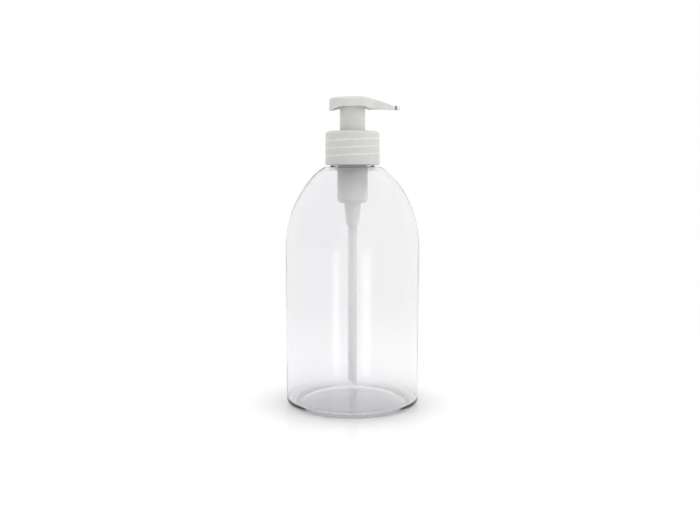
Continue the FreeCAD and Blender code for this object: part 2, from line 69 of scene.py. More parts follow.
class Slot(Enum):
    """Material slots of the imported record."""

    CLEAR = "clear_pet"
    NATURAL = "natural_pp"
    HEAD = "head_pp"
    TIP = "tip_pp"
    SOFT = "gasket_pe"
    TUBE = "tube_pe"
    STEEL = "steel_wire"
    BALL = "valve_glass"


# Shader maths


class Value:
    """Number on a shader socket that can stand in a Python expression."""

    def __init__(self, shader: "Shader", socket: bpy.types.NodeSocket) -> None:
        """Wraps an output socket.

        Args:
            shader: the material it belongs to.
            socket: the output that carries the number.
        """
        self.shader = shader
        self.socket = socket

    def maths(self, operation: str, first: "Value | float", second: "Value | float" = 0.0) -> "Value":
        """Adds one Math node.

        Args:
            operation: Blender's name of the operation.
            first: its first number.
            second: its second number, where it has one.

        Returns:
            The node's result.
        """
        node = self.shader.node("ShaderNodeMath", {"operation": operation}, {0: first, 1: second})
        return Value(self.shader, node.outputs[0])

    def __add__(self, other: "Value | float") -> "Value":
        """Sum."""
        return self.maths("ADD", self, other)

    __radd__ = __add__

    def __sub__(self, other: "Value | float") -> "Value":
        """Difference."""
        return self.maths("SUBTRACT", self, other)

    def __rsub__(self, other: float) -> "Value":
        """Difference, number first."""
        return self.maths("SUBTRACT", other, self)

    def __mul__(self, other: "Value | float") -> "Value":
        """Product."""
        return self.maths("MULTIPLY", self, other)

    __rmul__ = __mul__

    def turned_by(self, other: "Value") -> "Value":
        """Angle of a point whose upright distance is this value and whose level distance is other."""
        return self.maths("ARCTAN2", self, other)

    def wave(self) -> "Value":
        """Sine."""
        return self.maths("SINE", self)

    def root(self) -> "Value":
        """Square root."""
        return self.maths("SQRT", self)

    def between(self, low: float, high: float) -> "Value":
        """Smooth rise from 0 at low to 1 at high.

        Args:
            low: value where the rise starts.
            high: value where it ends.

        Returns:
            The rise, between 0 and 1.
        """
        settings = {"interpolation_type": "SMOOTHSTEP"}
        node = self.shader.node("ShaderNodeMapRange", settings, {0: self, 1: low, 2: high, 3: 0.0, 4: 1.0})
        return Value(self.shader, node.outputs[0])


class Shader:
    """Node tree of one material."""

    def __init__(self, name: str) -> None:
        """Starts an empty material.

        Args:
            name: the material's name.
        """
        self.material = bpy.data.materials.new(name)
        self.material.use_nodes = True
        self.tree = self.material.node_tree
        self.tree.nodes.clear()

    def node(self, kind: str, settings: dict | None = None, inputs: dict | None = None) -> bpy.types.Node:
        """Adds one node.

        Args:
            kind: Blender's type of the node.
            settings: properties, set first.
            inputs: value, Value or output socket for each input, by name or number.

        Returns:
            The new node.
        """
        node = self.tree.nodes.new(kind)
        for prop, setting in (settings or {}).items():
            setattr(node, prop, setting)
        for key, given in (inputs or {}).items():
            if isinstance(given, Value):
                given = given.socket
            if isinstance(given, bpy.types.NodeSocket):
                self.tree.links.new(given, node.inputs[key])
            else:
                node.inputs[key].default_value = given
        return node

    def place(self) -> bpy.types.NodeSocket:
        """Object coordinates of the shaded point, in metres."""
        return self.node("ShaderNodeTexCoord").outputs["Object"]

    def axes(self) -> tuple[Value, Value, Value]:
        """The point's x, y and z as three values."""
        node = self.node("ShaderNodeSeparateXYZ", inputs={0: self.place()})
        return tuple(Value(self, output) for output in node.outputs)

    def noise(self, scale: float, detail: float = 3.0, stretch: tuple = (1.0, 1.0, 1.0)) -> Value:
        """Soft noise over the piece.

        Args:
            scale: waves per metre.
            detail: octaves.
            stretch: scale along each axis, for drawn or ribbed looks.

        Returns:
            Noise about 0.5.
        """
        mapping = self.node("ShaderNodeMapping", inputs={"Vector": self.place(), "Scale": stretch})
        inputs = {"Vector": mapping.outputs[0], "Scale": scale, "Detail": detail}
        return Value(self, self.node("ShaderNodeTexNoise", inputs=inputs).outputs[0])

    def blend(self, factor: Value, dark: tuple, light: tuple) -> bpy.types.NodeSocket:
        """Colour between two.

        Args:
            factor: 0 for dark, 1 for light.
            dark: first colour.
            light: second colour.

        Returns:
            The mixed colour's socket.
        """
        settings = {"data_type": "RGBA", "clamp_factor": True}
        node = self.node("ShaderNodeMix", settings, {0: factor, 6: (*dark, 1.0), 7: (*light, 1.0)})
        return node.outputs[2]

    def bump(self, height: Value, depth: float, strength: float = 1.0) -> bpy.types.NodeSocket:
        """Normal disturbed by a height.

        Args:
            height: the height, 0 to 1.
            depth: how deep 1 is, in metres.
            strength: share of the effect.

        Returns:
            The normal's socket.
        """
        inputs = {"Strength": strength, "Distance": depth, "Height": height}
        return self.node("ShaderNodeBump", inputs=inputs).outputs[0]

    def mixed(self, factor: Value | float, first: bpy.types.Node, second: bpy.types.Node) -> bpy.types.Node:
        """Mix of two shaders.

        Args:
            factor: 0 for the first, 1 for the second.
            first: a shader node.
            second: another.

        Returns:
            The Mix Shader node.
        """
        inputs = {0: factor, 1: first.outputs[0], 2: second.outputs[0]}
        return self.node("ShaderNodeMixShader", inputs=inputs)

    def finish(self, shader: bpy.types.Node) -> bpy.types.Material:
        """Sends a shader to the output.

        Args:
            shader: the last shader node.

        Returns:
            The finished material.
        """
        self.node("ShaderNodeOutputMaterial", inputs={"Surface": shader.outputs[0]})
        return self.material


# Finishes


@dataclass(frozen=True)
class ClearPet:
    """Blown PET: clear, glossy, with the faint waves that blowing leaves."""

    name: str = "clear_blown_pet"
    # Painted shade: the bottle's left side is tinted darker and its right side lighter, as the light falls
    # from the right.
    right_lit_tint: tuple = (0.945, 0.945, 0.95)
    left_shaded_tint: tuple = (0.915, 0.915, 0.925)
    side_shade_spread: float = 0.03
    ior: float = 1.5
    wave_depth: float = 0.0001
    light_through: tuple = (0.975, 0.975, 0.98)
    # Painted light: a grey glow for rays that have bounced many times inside the glass.
    deep_ray_glow: tuple = (0.55, 0.55, 0.56)
    deep_start: float = 7.0
    deep_end: float = 14.0

    def make(self) -> bpy.types.Material:
        """Builds the material.

        Returns:
            The material.
        """
        shader = Shader(self.name)
        waves = shader.noise(55.0, 2.0, (1.0, 1.0, 0.35))
        smears = shader.noise(160.0, 4.0, (1.0, 1.0, 0.5))
        across, _, _ = shader.axes()
        # Painted shade: darker on the left (negative x), lighter on the right, blended with the random tone
        # of the blowing waves.
        painted_side_shade = across.between(-self.side_shade_spread, self.side_shade_spread)
        pet = shader.node("ShaderNodeBsdfPrincipled", inputs={
            "Base Color": shader.blend(painted_side_shade * 0.7 + waves.between(0.35, 0.65) * 0.3,
                                       self.left_shaded_tint, self.right_lit_tint),
            "Roughness": 0.012 + smears.between(0.5, 0.75) * 0.02,
            "IOR": self.ior,
            "Transmission Weight": 1.0,
            "Normal": shader.bump(waves, self.wave_depth),
        })
        clear = shader.node("ShaderNodeBsdfTransparent", inputs={"Color": (*self.light_through, 1.0)})
        rays = shader.node("ShaderNodeLightPath")
        deep = Value(shader, rays.outputs["Ray Depth"]).between(self.deep_start, self.deep_end)
        # Painted light: deep rays glow grey instead of going on through the glass.
        deep_ray_glow = shader.node("ShaderNodeEmission", inputs={"Color": (*self.deep_ray_glow, 1.0)})
        glow_when_deep = shader.mixed(deep, pet, deep_ray_glow)
        return shader.finish(shader.mixed(Value(shader, rays.outputs["Is Shadow Ray"]), glow_when_deep, clear))


@dataclass(frozen=True)
class NaturalPlastic:
    """Natural or lightly coloured polyolefin: milky, satin, with light inside it."""

    name: str
    dark: tuple = (0.60, 0.61, 0.61)
    light: tuple = (0.74, 0.75, 0.75)
    roughness: float = 0.34
    see_through: float = 0.2
    light_in: float = 0.45
    glow: float = 0.3
    glow_depth: float = 0.0012
    grain: float = 2200.0
    grain_depth: float = 0.000012

    def tone(self, shader: Shader) -> Value:
        """Slow change of tone over the moulding.

        Args:
            shader: the material being built.

        Returns:
            Tone, 0 dark to 1 light.
        """
        return shader.noise(130.0, 3.0).between(0.3, 0.7)

    def make(self) -> bpy.types.Material:
        """Builds the material.

        Returns:
            The material.
        """
        shader = Shader(self.name)
        grain = shader.noise(self.grain, 2.0)
        flow = shader.noise(260.0, 4.0, (1.0, 1.0, 0.4))
        plastic = shader.node("ShaderNodeBsdfPrincipled", inputs={
            "Base Color": shader.blend(self.tone(shader), self.dark, self.light),
            "Roughness": self.roughness - 0.04 + flow * 0.08,
            "IOR": 1.49,
            "Subsurface Weight": self.glow,
            "Subsurface Radius": (1.0, 1.0, 0.95),
            "Subsurface Scale": self.glow_depth,
            "Normal": shader.bump(grain, self.grain_depth, 0.6),
        })
        clear = shader.node("ShaderNodeBsdfTransparent", inputs={"Color": (0.97, 0.975, 0.975, 1.0)})
        rays = shader.node("ShaderNodeLightPath")
        lit = Value(shader, rays.outputs["Is Shadow Ray"]) * (self.light_in - self.see_through)
        return shader.finish(shader.mixed(lit + self.see_through, plastic, clear))


@dataclass(frozen=True)
class ThreadedPlastic(NaturalPlastic):
    """Natural plastic over a thread, with painted light: lighter bands, where light shows through the thin
    wall between the turns, climb round it.
    """

    pitch: float = 4.2333 * MM
    thread_low: float = 141.2 * MM
    thread_high: float = 156.0 * MM

    def tone(self, shader: Shader) -> Value:
        """Painted light: bands that climb one pitch each turn, between the first and last turns of the
        thread, lighter where light shows through the thin wall.
        """
        across, back, up = shader.axes()
        climb = up * (FULL_TURN / self.pitch) - back.turned_by(across)
        fading = shader.noise(70.0, 2.0).between(0.3, 0.7) * 0.5 + 0.5
        # Painted light: lighter bands where light shows through the thin wall between the turns.
        through_light_band = climb.wave().between(0.62, 1.0) * fading
        inside = up.between(self.thread_low, self.thread_low + MM)
        below = 1.0 - up.between(self.thread_high - MM, self.thread_high)
        mottle = shader.noise(420.0, 3.0).between(0.3, 0.8)
        return through_light_band * inside * below * (0.55 + mottle * 0.45) + 0.12 * mottle


@dataclass(frozen=True)
class CylinderPlastic(NaturalPlastic):
    """Natural plastic with painted shade: darker high up, where the piston and spring inside shade it,
    lighter low down.
    """

    low: float = 116.8 * MM
    high: float = 136.0 * MM

    def tone(self, shader: Shader) -> Value:
        """Painted shade: lighter towards the foot of the piece, darker high up where the parts inside shade
        it.
        """
        _, _, up = shader.axes()
        # Painted shade from the parts inside, plus a random tone.
        return (1.0 - up.between(self.low, self.high)) * 0.85 + shader.noise(300.0) * 0.2


@dataclass(frozen=True)
class TipPlastic(NaturalPlastic):
    """Grey tip with painted shade: its narrow neck is painted dark for the shaded passage inside."""

    start: float = 23.5 * MM
    end: float = 25.7 * MM

    def tone(self, shader: Shader) -> Value:
        """Painted shade: dark over the neck, light on the flange and the end."""
        across, _, _ = shader.axes()
        half = (self.end - self.start) / 2
        rise = across.between(self.start, self.start + half)
        fall = across.between(self.end - half, self.end)
        # Painted shade of the passage inside the neck.
        return 1.0 - rise * (1.0 - fall)


@dataclass(frozen=True)
class SpringSteel:
    """Drawn stainless wire."""

    name: str = "drawn_stainless_wire"
    dark: tuple = (0.42, 0.42, 0.43)
    light: tuple = (0.66, 0.66, 0.67)

    def make(self) -> bpy.types.Material:
        """Builds the material.

        Returns:
            The material.
        """
        shader = Shader(self.name)
        drawn = shader.noise(900.0, 4.0, (1.0, 1.0, 3.0))
        steel = shader.node("ShaderNodeBsdfPrincipled", inputs={
            "Base Color": shader.blend(drawn.between(0.3, 0.7), self.dark, self.light),
            "Metallic": 1.0,
            "Roughness": 0.22 + drawn * 0.2,
            "Normal": shader.bump(drawn, 0.00001, 0.5),
        })
        return shader.finish(steel)


@dataclass(frozen=True)
class BallGlass:
    """Polished glass of the valve balls, faintly green."""

    name: str = "valve_ball_glass"
    tint: tuple = (0.80, 0.88, 0.85)

    def make(self) -> bpy.types.Material:
        """Builds the material.

        Returns:
            The material.
        """
        shader = Shader(self.name)
        scuff = shader.noise(1500.0, 3.0)
        lighter = tuple(min(1.0, part * 1.1) for part in self.tint)
        glass = shader.node("ShaderNodeBsdfPrincipled", inputs={
            "Base Color": shader.blend(scuff, self.tint, lighter),
            "Roughness": 0.02 + scuff.between(0.55, 0.8) * 0.12,
            "IOR": 1.5,
            "Transmission Weight": 1.0,
            "Normal": shader.bump(scuff, 0.000004, 0.4),
        })
        return shader.finish(glass)


# Modelling by hand


def rounded(corners: list[tuple], steps: int = 6) -> list[Vector]:
    """Outline in the upright half plane with its corners rounded.

    Args:
        corners: (radius, height, rounding) in millimetres, rounding left out where it is sharp.
        steps: points on each rounding's arc.

    Returns:
        Points (x, 0, z) in metres.
    """
    points = []
    for index, corner in enumerate(corners):
        here = Vector((corner[0], 0.0, corner[1]))
        reach = corner[2] if len(corner) > 2 else 0.0
        if not reach:
            points.append(here * MM)
            continue
        before = Vector((corners[index - 1][0], 0.0, corners[index - 1][1])) - here
        after_corner = corners[(index + 1) % len(corners)]
        after = Vector((after_corner[0], 0.0, after_corner[1])) - here
        half = before.angle(after) / 2
        run = min(reach / math.tan(half), before.length * 0.49, after.length * 0.49)
        first = here + before.normalized() * run
        last = here + after.normalized() * run
        centre = here + (before.normalized() + after.normalized()).normalized() * (run / math.cos(half))
        for step in range(steps + 1):
            spoke = (first - centre).lerp(last - centre, step / steps)
            points.append((centre + spoke.normalized() * (first - centre).length) * MM)
    return points


def only(piece: bpy.types.Object) -> None:
    """Selects one object alone and makes it active."""
    if bpy.context.mode != "OBJECT":
        bpy.ops.object.mode_set(mode="OBJECT")
    bpy.ops.object.select_all(action="DESELECT")
    piece.select_set(True)
    bpy.context.view_layer.objects.active = piece


@contextmanager
def editing(kind: str = "VERT", action: str = "SELECT") -> Iterator[None]:
    """Edit mode of the active object for as long as a with block lasts.

    Args:
        kind: what is selected, VERT, EDGE or FACE.
        action: SELECT to start with everything selected, DESELECT with nothing.
    """
    bpy.ops.object.mode_set(mode="EDIT")
    bpy.ops.mesh.select_mode(type=kind)
    bpy.ops.mesh.select_all(action=action)
    yield
    bpy.ops.mesh.select_mode(type="VERT")
    bpy.ops.object.mode_set(mode="OBJECT")


def drawn(name: str, outline: list[Vector], closed: bool = True) -> bpy.types.Object:
    """Wire outline drawn by extruding one vertex from point to point.

    Args:
        name: the object's name.
        outline: the points.
        closed: True to come back to the first point.

    Returns:
        The wire object.
    """
    bpy.ops.object.select_all(action="DESELECT")
    bpy.ops.mesh.primitive_plane_add(size=MM)
    piece = bpy.context.object
    piece.name = name
    path = outline + [outline[0]] if closed else outline
    with editing():
        bpy.ops.mesh.merge(type="CENTER")
        bpy.ops.transform.translate(value=outline[0])
        for start, stop in zip(path, path[1:]):
            bpy.ops.mesh.extrude_region_move(TRANSFORM_OT_translate={"value": stop - start})
        bpy.ops.mesh.select_all(action="SELECT")
        bpy.ops.mesh.remove_doubles(threshold=1e-7)
    return piece


def turned(name: str, outline: list[Vector], closed: bool = True, steps: int = 128) -> bpy.types.Object:
    """Outline spun once round the upright axis.

    Args:
        name: the object's name.
        outline: the points; an open outline starts and ends on the axis.
        closed: True for a ring-shaped section.
        steps: facets round the axis.

    Returns:
        The turned solid.
    """
    piece = drawn(name, outline, closed)
    with editing():
        bpy.ops.mesh.spin(steps=steps, angle=FULL_TURN, center=(0, 0, 0), axis=(0, 0, 1))
    return outward(piece)


def outward(piece: bpy.types.Object) -> bpy.types.Object:
    """Merges doubled vertices, turns the faces outwards and smooths all but the sharp edges."""
    only(piece)
    with editing():
        bpy.ops.mesh.remove_doubles(threshold=1e-6)
        bpy.ops.mesh.normals_make_consistent(inside=False)
    bpy.ops.object.shade_smooth_by_angle(angle=math.radians(32))
    return piece


def modified(piece: bpy.types.Object, kind: str, settings: dict) -> bpy.types.Object:
    """Adds a modifier and applies it.

    Args:
        piece: the object.
        kind: Blender's type of the modifier.
        settings: its properties.

    Returns:
        The same object.
    """
    only(piece)
    modifier = piece.modifiers.new(kind.title(), kind)
    for prop, setting in settings.items():
        setattr(modifier, prop, setting)
    bpy.ops.object.modifier_apply(modifier=modifier.name)
    return piece


def combined(piece: bpy.types.Object, tool: bpy.types.Object, operation: str) -> bpy.types.Object:
    """Adds a tool to a piece, or cuts it away, and deletes the tool.

    Args:
        piece: the object that stays.
        tool: the object that is used up.
        operation: UNION or DIFFERENCE.

    Returns:
        The changed piece.
    """
    modified(piece, "BOOLEAN", {"object": tool, "operation": operation, "solver": "EXACT"})
    bpy.data.objects.remove(tool, do_unlink=True)
    return piece


def wound(name: str, section: list[Vector], turns: float, pitch: float, steps: int = 72) -> bpy.types.Object:
    """Closed section wound up the axis as a ridge or a wire.

    Args:
        name: the object's name.
        section: its points.
        turns: how many times round.
        pitch: rise of each turn, in metres.
        steps: facets in each turn.

    Returns:
        The wound solid, its ends closed.
    """
    piece = drawn(name, section)
    modified(piece, "SCREW", {
        "angle": FULL_TURN * turns,
        "screw_offset": pitch * turns,
        "steps": max(8, round(steps * turns)),
        "render_steps": max(8, round(steps * turns)),
    })
    with editing("EDGE", "DESELECT"):
        bpy.ops.mesh.select_non_manifold()
        bpy.ops.mesh.edge_face_add()
    return outward(piece)


def select_faces(piece: bpy.types.Object, chosen: Callable[[Vector, Vector], bool]) -> None:
    """Selects the faces that a test picks, in edit mode.

    Args:
        piece: the object, in object mode.
        chosen: test of a face's centre and normal.
    """
    only(piece)
    bpy.ops.object.mode_set(mode="EDIT")
    bpy.ops.mesh.select_mode(type="FACE")
    bpy.ops.mesh.select_all(action="DESELECT")
    bpy.ops.object.mode_set(mode="OBJECT")
    for face in piece.data.polygons:
        face.select = bool(chosen(face.center, face.normal))
    bpy.ops.object.mode_set(mode="EDIT")


def rod(name: str, start: Vector, end: Vector, radius: float, vertices: int = 40) -> bpy.types.Object:
    """Round bar between two points, used as a cutter or a core.

    Args:
        name: the object's name.
        start: middle of one end.
        end: middle of the other.
        radius: its radius in metres.
        vertices: sides of its circle.

    Returns:
        The bar, with its place in its mesh.
    """
    bpy.ops.object.select_all(action="DESELECT")
    along = end - start
    bpy.ops.mesh.primitive_cylinder_add(vertices=vertices, radius=radius, depth=along.length)
    bar = bpy.context.object
    bar.name = name
    bar.rotation_euler = along.to_track_quat("Z", "Y").to_euler()
    bar.location = (start + end) / 2
    return settled(bar)


def settled(piece: bpy.types.Object) -> bpy.types.Object:
    """Moves an object's place, turn and scale into its mesh."""
    only(piece)
    bpy.ops.object.transform_apply(location=True, rotation=True, scale=True)
    return piece


@dataclass
class Piece:
    """One finished piece: what it stands for, what carries it and what it is made of."""

    name: str
    node: str
    body: Body
    slot: Slot

    def shape(self) -> bpy.types.Object:
        """Makes the bare mesh in its place."""
        raise NotImplementedError(self.name)

    def build(self, finish: "ClearPet | NaturalPlastic | SpringSteel") -> bpy.types.Object:
        """Makes the piece, dresses it and ties it to the CAD.

        Args:
            finish: what it is made of.

        Returns:
            The finished piece.
        """
        made = self.shape()
        made.name = self.name
        made.data.name = self.name
        made.data.materials.clear()
        made.data.materials.append(finish.make())
        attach(made, self.body.value)
        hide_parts(self.node)
        LOG.info("%s: %d faces", self.name, len(made.data.polygons))
        return made


# Bottle


@dataclass
class Bottle(Piece):
    """Blown bottle. Sizes are in millimetres, as on a drawing."""

    radius: float = 38.5
    painted_side_shade: float = 0.7
    floor: float = 1.2
    heel: float = 5.0
    punt_radius: float = 31.0
    punt_rise: float = 6.5
    gate_radius: float = 2.2
    gate_depth: float = 0.5
    dome_base: float = 89.3
    dome_rise: float = 52.8
    dome_wall: float = 1.7
    shoulder: float = 16.3
    shoulder_wall: float = 1.0
    neck: float = 12.5
    bore: float = 10.8
    mouth: float = 153.4
    bead: float = 13.5
    bead_foot: float = 138.9
    bead_width: float = 1.2
    thread_start: float = 144.0
    thread_radius: float = 13.6
    thread_pitch: float = 4.2333
    thread_turns: float = 1.5

    def dome(self, radius: float, rise: float, stop: float, steps: int = 40) -> list[tuple]:
        """Upright ellipse from the cylinder's top to where it is cut off.

        Args:
            radius: half its width.
            rise: half its height.
            stop: radius at which it ends.
            steps: how many pieces it is drawn in.

        Returns:
            Corners from the cylinder up.
        """
        last = math.acos(stop / radius)
        turns = [last * step / steps for step in range(steps + 1)]
        return [(radius * math.cos(turn), self.dome_base + rise * math.sin(turn)) for turn in turns]

    def punt(self, lift: float, steps: int = 14) -> list[tuple]:
        """Pushed-up base, a shallow cap of a ball, from the middle out.

        Args:
            lift: height of its rim.
            steps: how many pieces it is drawn in.

        Returns:
            Corners from the gate's edge to the rim.
        """
        ball = (self.punt_radius ** 2 + self.punt_rise ** 2) / (2 * self.punt_rise)
        corners = []
        for step in range(steps + 1):
            out = self.gate_radius + (self.punt_radius - self.gate_radius) * step / steps
            corners.append((out, lift + math.sqrt(ball ** 2 - out ** 2) - ball + self.punt_rise))
        return corners

    def outline(self) -> list[Vector]:
        """Section of the wall, from the middle of the base round the outside and back inside."""
        gate = self.punt_rise - self.gate_depth
        inner = self.radius - self.painted_side_shade
        outside = self.dome(self.radius, self.dome_rise, self.shoulder)
        inside = self.dome(inner, self.dome_rise - self.dome_wall, self.shoulder - self.shoulder_wall)
        bead_top = self.bead_foot + self.bead_width
        corners = [(0.0, gate), (self.gate_radius - 0.3, gate, 0.2), *self.punt(0.0)[:-1]]
        corners += [(self.punt_radius, 0.0, 1.2), (self.radius, 0.0, self.heel), *outside[:-1]]
        corners += [(self.shoulder, outside[-1][1], 0.5), (self.neck, outside[-1][1], 0.8)]
        corners += [(self.neck, self.bead_foot, 0.2), (self.bead, self.bead_foot, 0.4)]
        corners += [(self.bead, bead_top, 0.4), (self.neck, bead_top, 0.3)]
        corners += [(self.neck, self.mouth, 0.5), (self.bore, self.mouth, 0.5)]
        corners += [(self.bore, inside[-1][1], 0.8), (inside[-1][0], inside[-1][1], 0.8)]
        corners += [*reversed(inside[:-1]), (inner, self.floor, self.heel - self.painted_side_shade)]
        corners += [(self.punt_radius, self.floor, 1.2), *reversed(self.punt(self.floor)[:-1])]
        corners += [(0.0, self.punt_rise + self.floor)]
        return rounded(corners, 7)

    def shape(self) -> bpy.types.Object:
        """Spins the wall and winds the neck thread."""
        shell = turned(self.name, self.outline(), closed=False, steps=160)
        ridge = wound("neck_ridge", rounded([
            (self.neck - 0.2, self.thread_start - 1.1),
            (self.thread_radius, self.thread_start - 0.5, 0.25),
            (self.thread_radius, self.thread_start + 0.5, 0.25),
            (self.neck - 0.2, self.thread_start + 1.1),
        ], 3), self.thread_turns, self.thread_pitch * MM)
        return outward(combined(shell, ridge, "UNION"))


# Turned pieces of the pump


@dataclass
class TurnedPiece(Piece):
    """Piece that is one turned ring section."""

    corners: list[tuple] = field(default_factory=list)
    steps: int = 96

    def shape(self) -> bpy.types.Object:
        """Spins the section."""
        return turned(self.name, rounded(self.corners, 5), steps=self.steps)


@dataclass
class Collar(Piece):
    """Screw collar with the thread inside it."""

    foot: float = 138.2
    top: float = 157.3
    radius: float = 15.6
    top_radius: float = 15.4
    bore: float = 14.1
    hole: float = 8.8
    plate: float = 1.3
    top_round: float = 2.0
    thread_radius: float = 12.95
    thread_start: float = 144.0
    pitch: float = 4.2333
    turns: float = 1.5

    def shape(self) -> bpy.types.Object:
        """Spins the shell and winds its thread."""
        plate_foot = self.top - self.plate
        shell = turned(self.name, rounded([
            (self.bore, self.foot, 0.3),
            (self.radius, self.foot, 0.5),
            (self.top_radius, self.top, self.top_round),
            (self.hole, self.top, 0.45),
            (self.hole, plate_foot, 0.2),
            (self.bore, plate_foot, 0.7),
        ], 7), steps=144)
        middle = self.thread_start - self.pitch / 2
        ridge = wound("collar_ridge", rounded([
            (self.bore + 0.2, middle - 0.8),
            (self.bore + 0.2, middle + 0.8),
            (self.thread_radius, middle + 0.4, 0.2),
            (self.thread_radius, middle - 0.4, 0.2),
        ], 3), self.turns, self.pitch * MM)
        return outward(combined(shell, ridge, "UNION"))


@dataclass
class DipTube(Piece):
    """Straight tube with a slanted foot."""

    radius: float = 2.75
    bore: float = 2.0
    top: float = 112.0
    low: float = 9.5
    slant: float = 4.1

    def shape(self) -> bpy.types.Object:
        """Spins the tube and slices its foot off at a slant."""
        tube = turned(self.name, rounded([
            (self.bore, self.low - 1.0),
            (self.radius, self.low - 1.0),
            (self.radius, self.top, 0.15),
            (self.bore, self.top, 0.15),
        ], 3), steps=56)
        with editing():
            bpy.ops.mesh.bisect(
                plane_co=(self.radius * MM, 0.0, self.low * MM),
                plane_no=Vector((self.slant, 0.0, 2 * self.radius)).normalized(),
                clear_inner=True,
                threshold=1e-7,
            )
        with editing("EDGE", "DESELECT"):
            bpy.ops.mesh.select_non_manifold()
            bpy.ops.mesh.bridge_edge_loops()
        return outward(tube)


@dataclass
class PumpHousing(Piece):
    """Stepped cylinder in the neck, with its funnel and air hole."""

    vent_height: float = 144.5
    vent_radius: float = 0.6
    corners: list[tuple] = field(default_factory=lambda: [
        (2.77, 104.0, 0.15), (3.5, 104.0, 0.25), (4.9, 116.8, 0.6), (7.4, 116.8, 0.4),
        (8.7, 118.6, 0.4), (8.7, 138.8, 0.8), (10.3, 140.3, 0.6), (10.3, 154.2, 0.25),
        (13.1, 154.2, 0.2), (13.1, 155.1, 0.2), (9.7, 155.1, 0.2), (9.7, 141.0, 0.2),
        (7.9, 141.0, 0.2), (7.9, 119.2, 0.5), (6.9, 118.0, 0.4), (2.7, 118.0, 0.2),
        (2.7, 114.4), (1.5, 113.2), (1.5, 112.0), (2.77, 112.0),
    ])

    def shape(self) -> bpy.types.Object:
        """Spins the cylinder and drills the air hole."""
        shell = turned(self.name, rounded(self.corners, 5), steps=96)
        height = self.vent_height * MM
        drill = rod("vent_drill", Vector((5 * MM, 0, height)), Vector((14 * MM, 0, height)),
                    self.vent_radius * MM, 24)
        return outward(combined(shell, drill, "DIFFERENCE"))


@dataclass
class ReturnSpring(Piece):
    """Compression spring with a closed turn at each end."""

    foot: float = 119.47
    top: float = 137.53
    radius: float = 4.35
    wire: float = 0.45
    end_pitch: float = 0.95
    middle_turns: float = 4.5
    keep: float = 0.42

    def section(self, height: float) -> list[Vector]:
        """Circle of the wire at a height."""
        sides = 14
        spots = []
        for side in range(sides):
            turn = FULL_TURN * side / sides
            out = self.radius + self.wire * math.cos(turn)
            spots.append(Vector((out, 0.0, height + self.wire * math.sin(turn))) * MM)
        return spots

    def shape(self) -> bpy.types.Object:
        """Winds the two closed ends and the open turns, and welds them into one wire."""
        open_rise = self.top - self.foot - 2 * self.end_pitch
        first = wound(self.name, self.section(self.foot), 1.0, self.end_pitch * MM, 40)
        second = wound("open_turns", self.section(self.foot + self.end_pitch), self.middle_turns,
                       open_rise / self.middle_turns * MM, 40)
        third = wound("top_turn", self.section(self.top - self.end_pitch), 1.0, self.end_pitch * MM, 40)
        third.rotation_euler = (0.0, 0.0, FULL_TURN * self.middle_turns)
        settled(third)
        only(first)
        for part in (second, third):
            part.select_set(True)
        bpy.ops.object.join()
        with editing():
            bpy.ops.mesh.remove_doubles(threshold=2e-6)
        with editing("FACE", "DESELECT"):
            bpy.ops.mesh.select_interior_faces()
            bpy.ops.mesh.delete(type="FACE")
        return outward(first)

    def build(self, finish: SpringSteel) -> bpy.types.Object:
        """Makes the spring and gives it its own copy of its mesh.

        Args:
            finish: the steel.

        Returns:
            The spring.
        """
        spring = super().build(finish)
        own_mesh(spring)
        return spring


# Head and nozzle


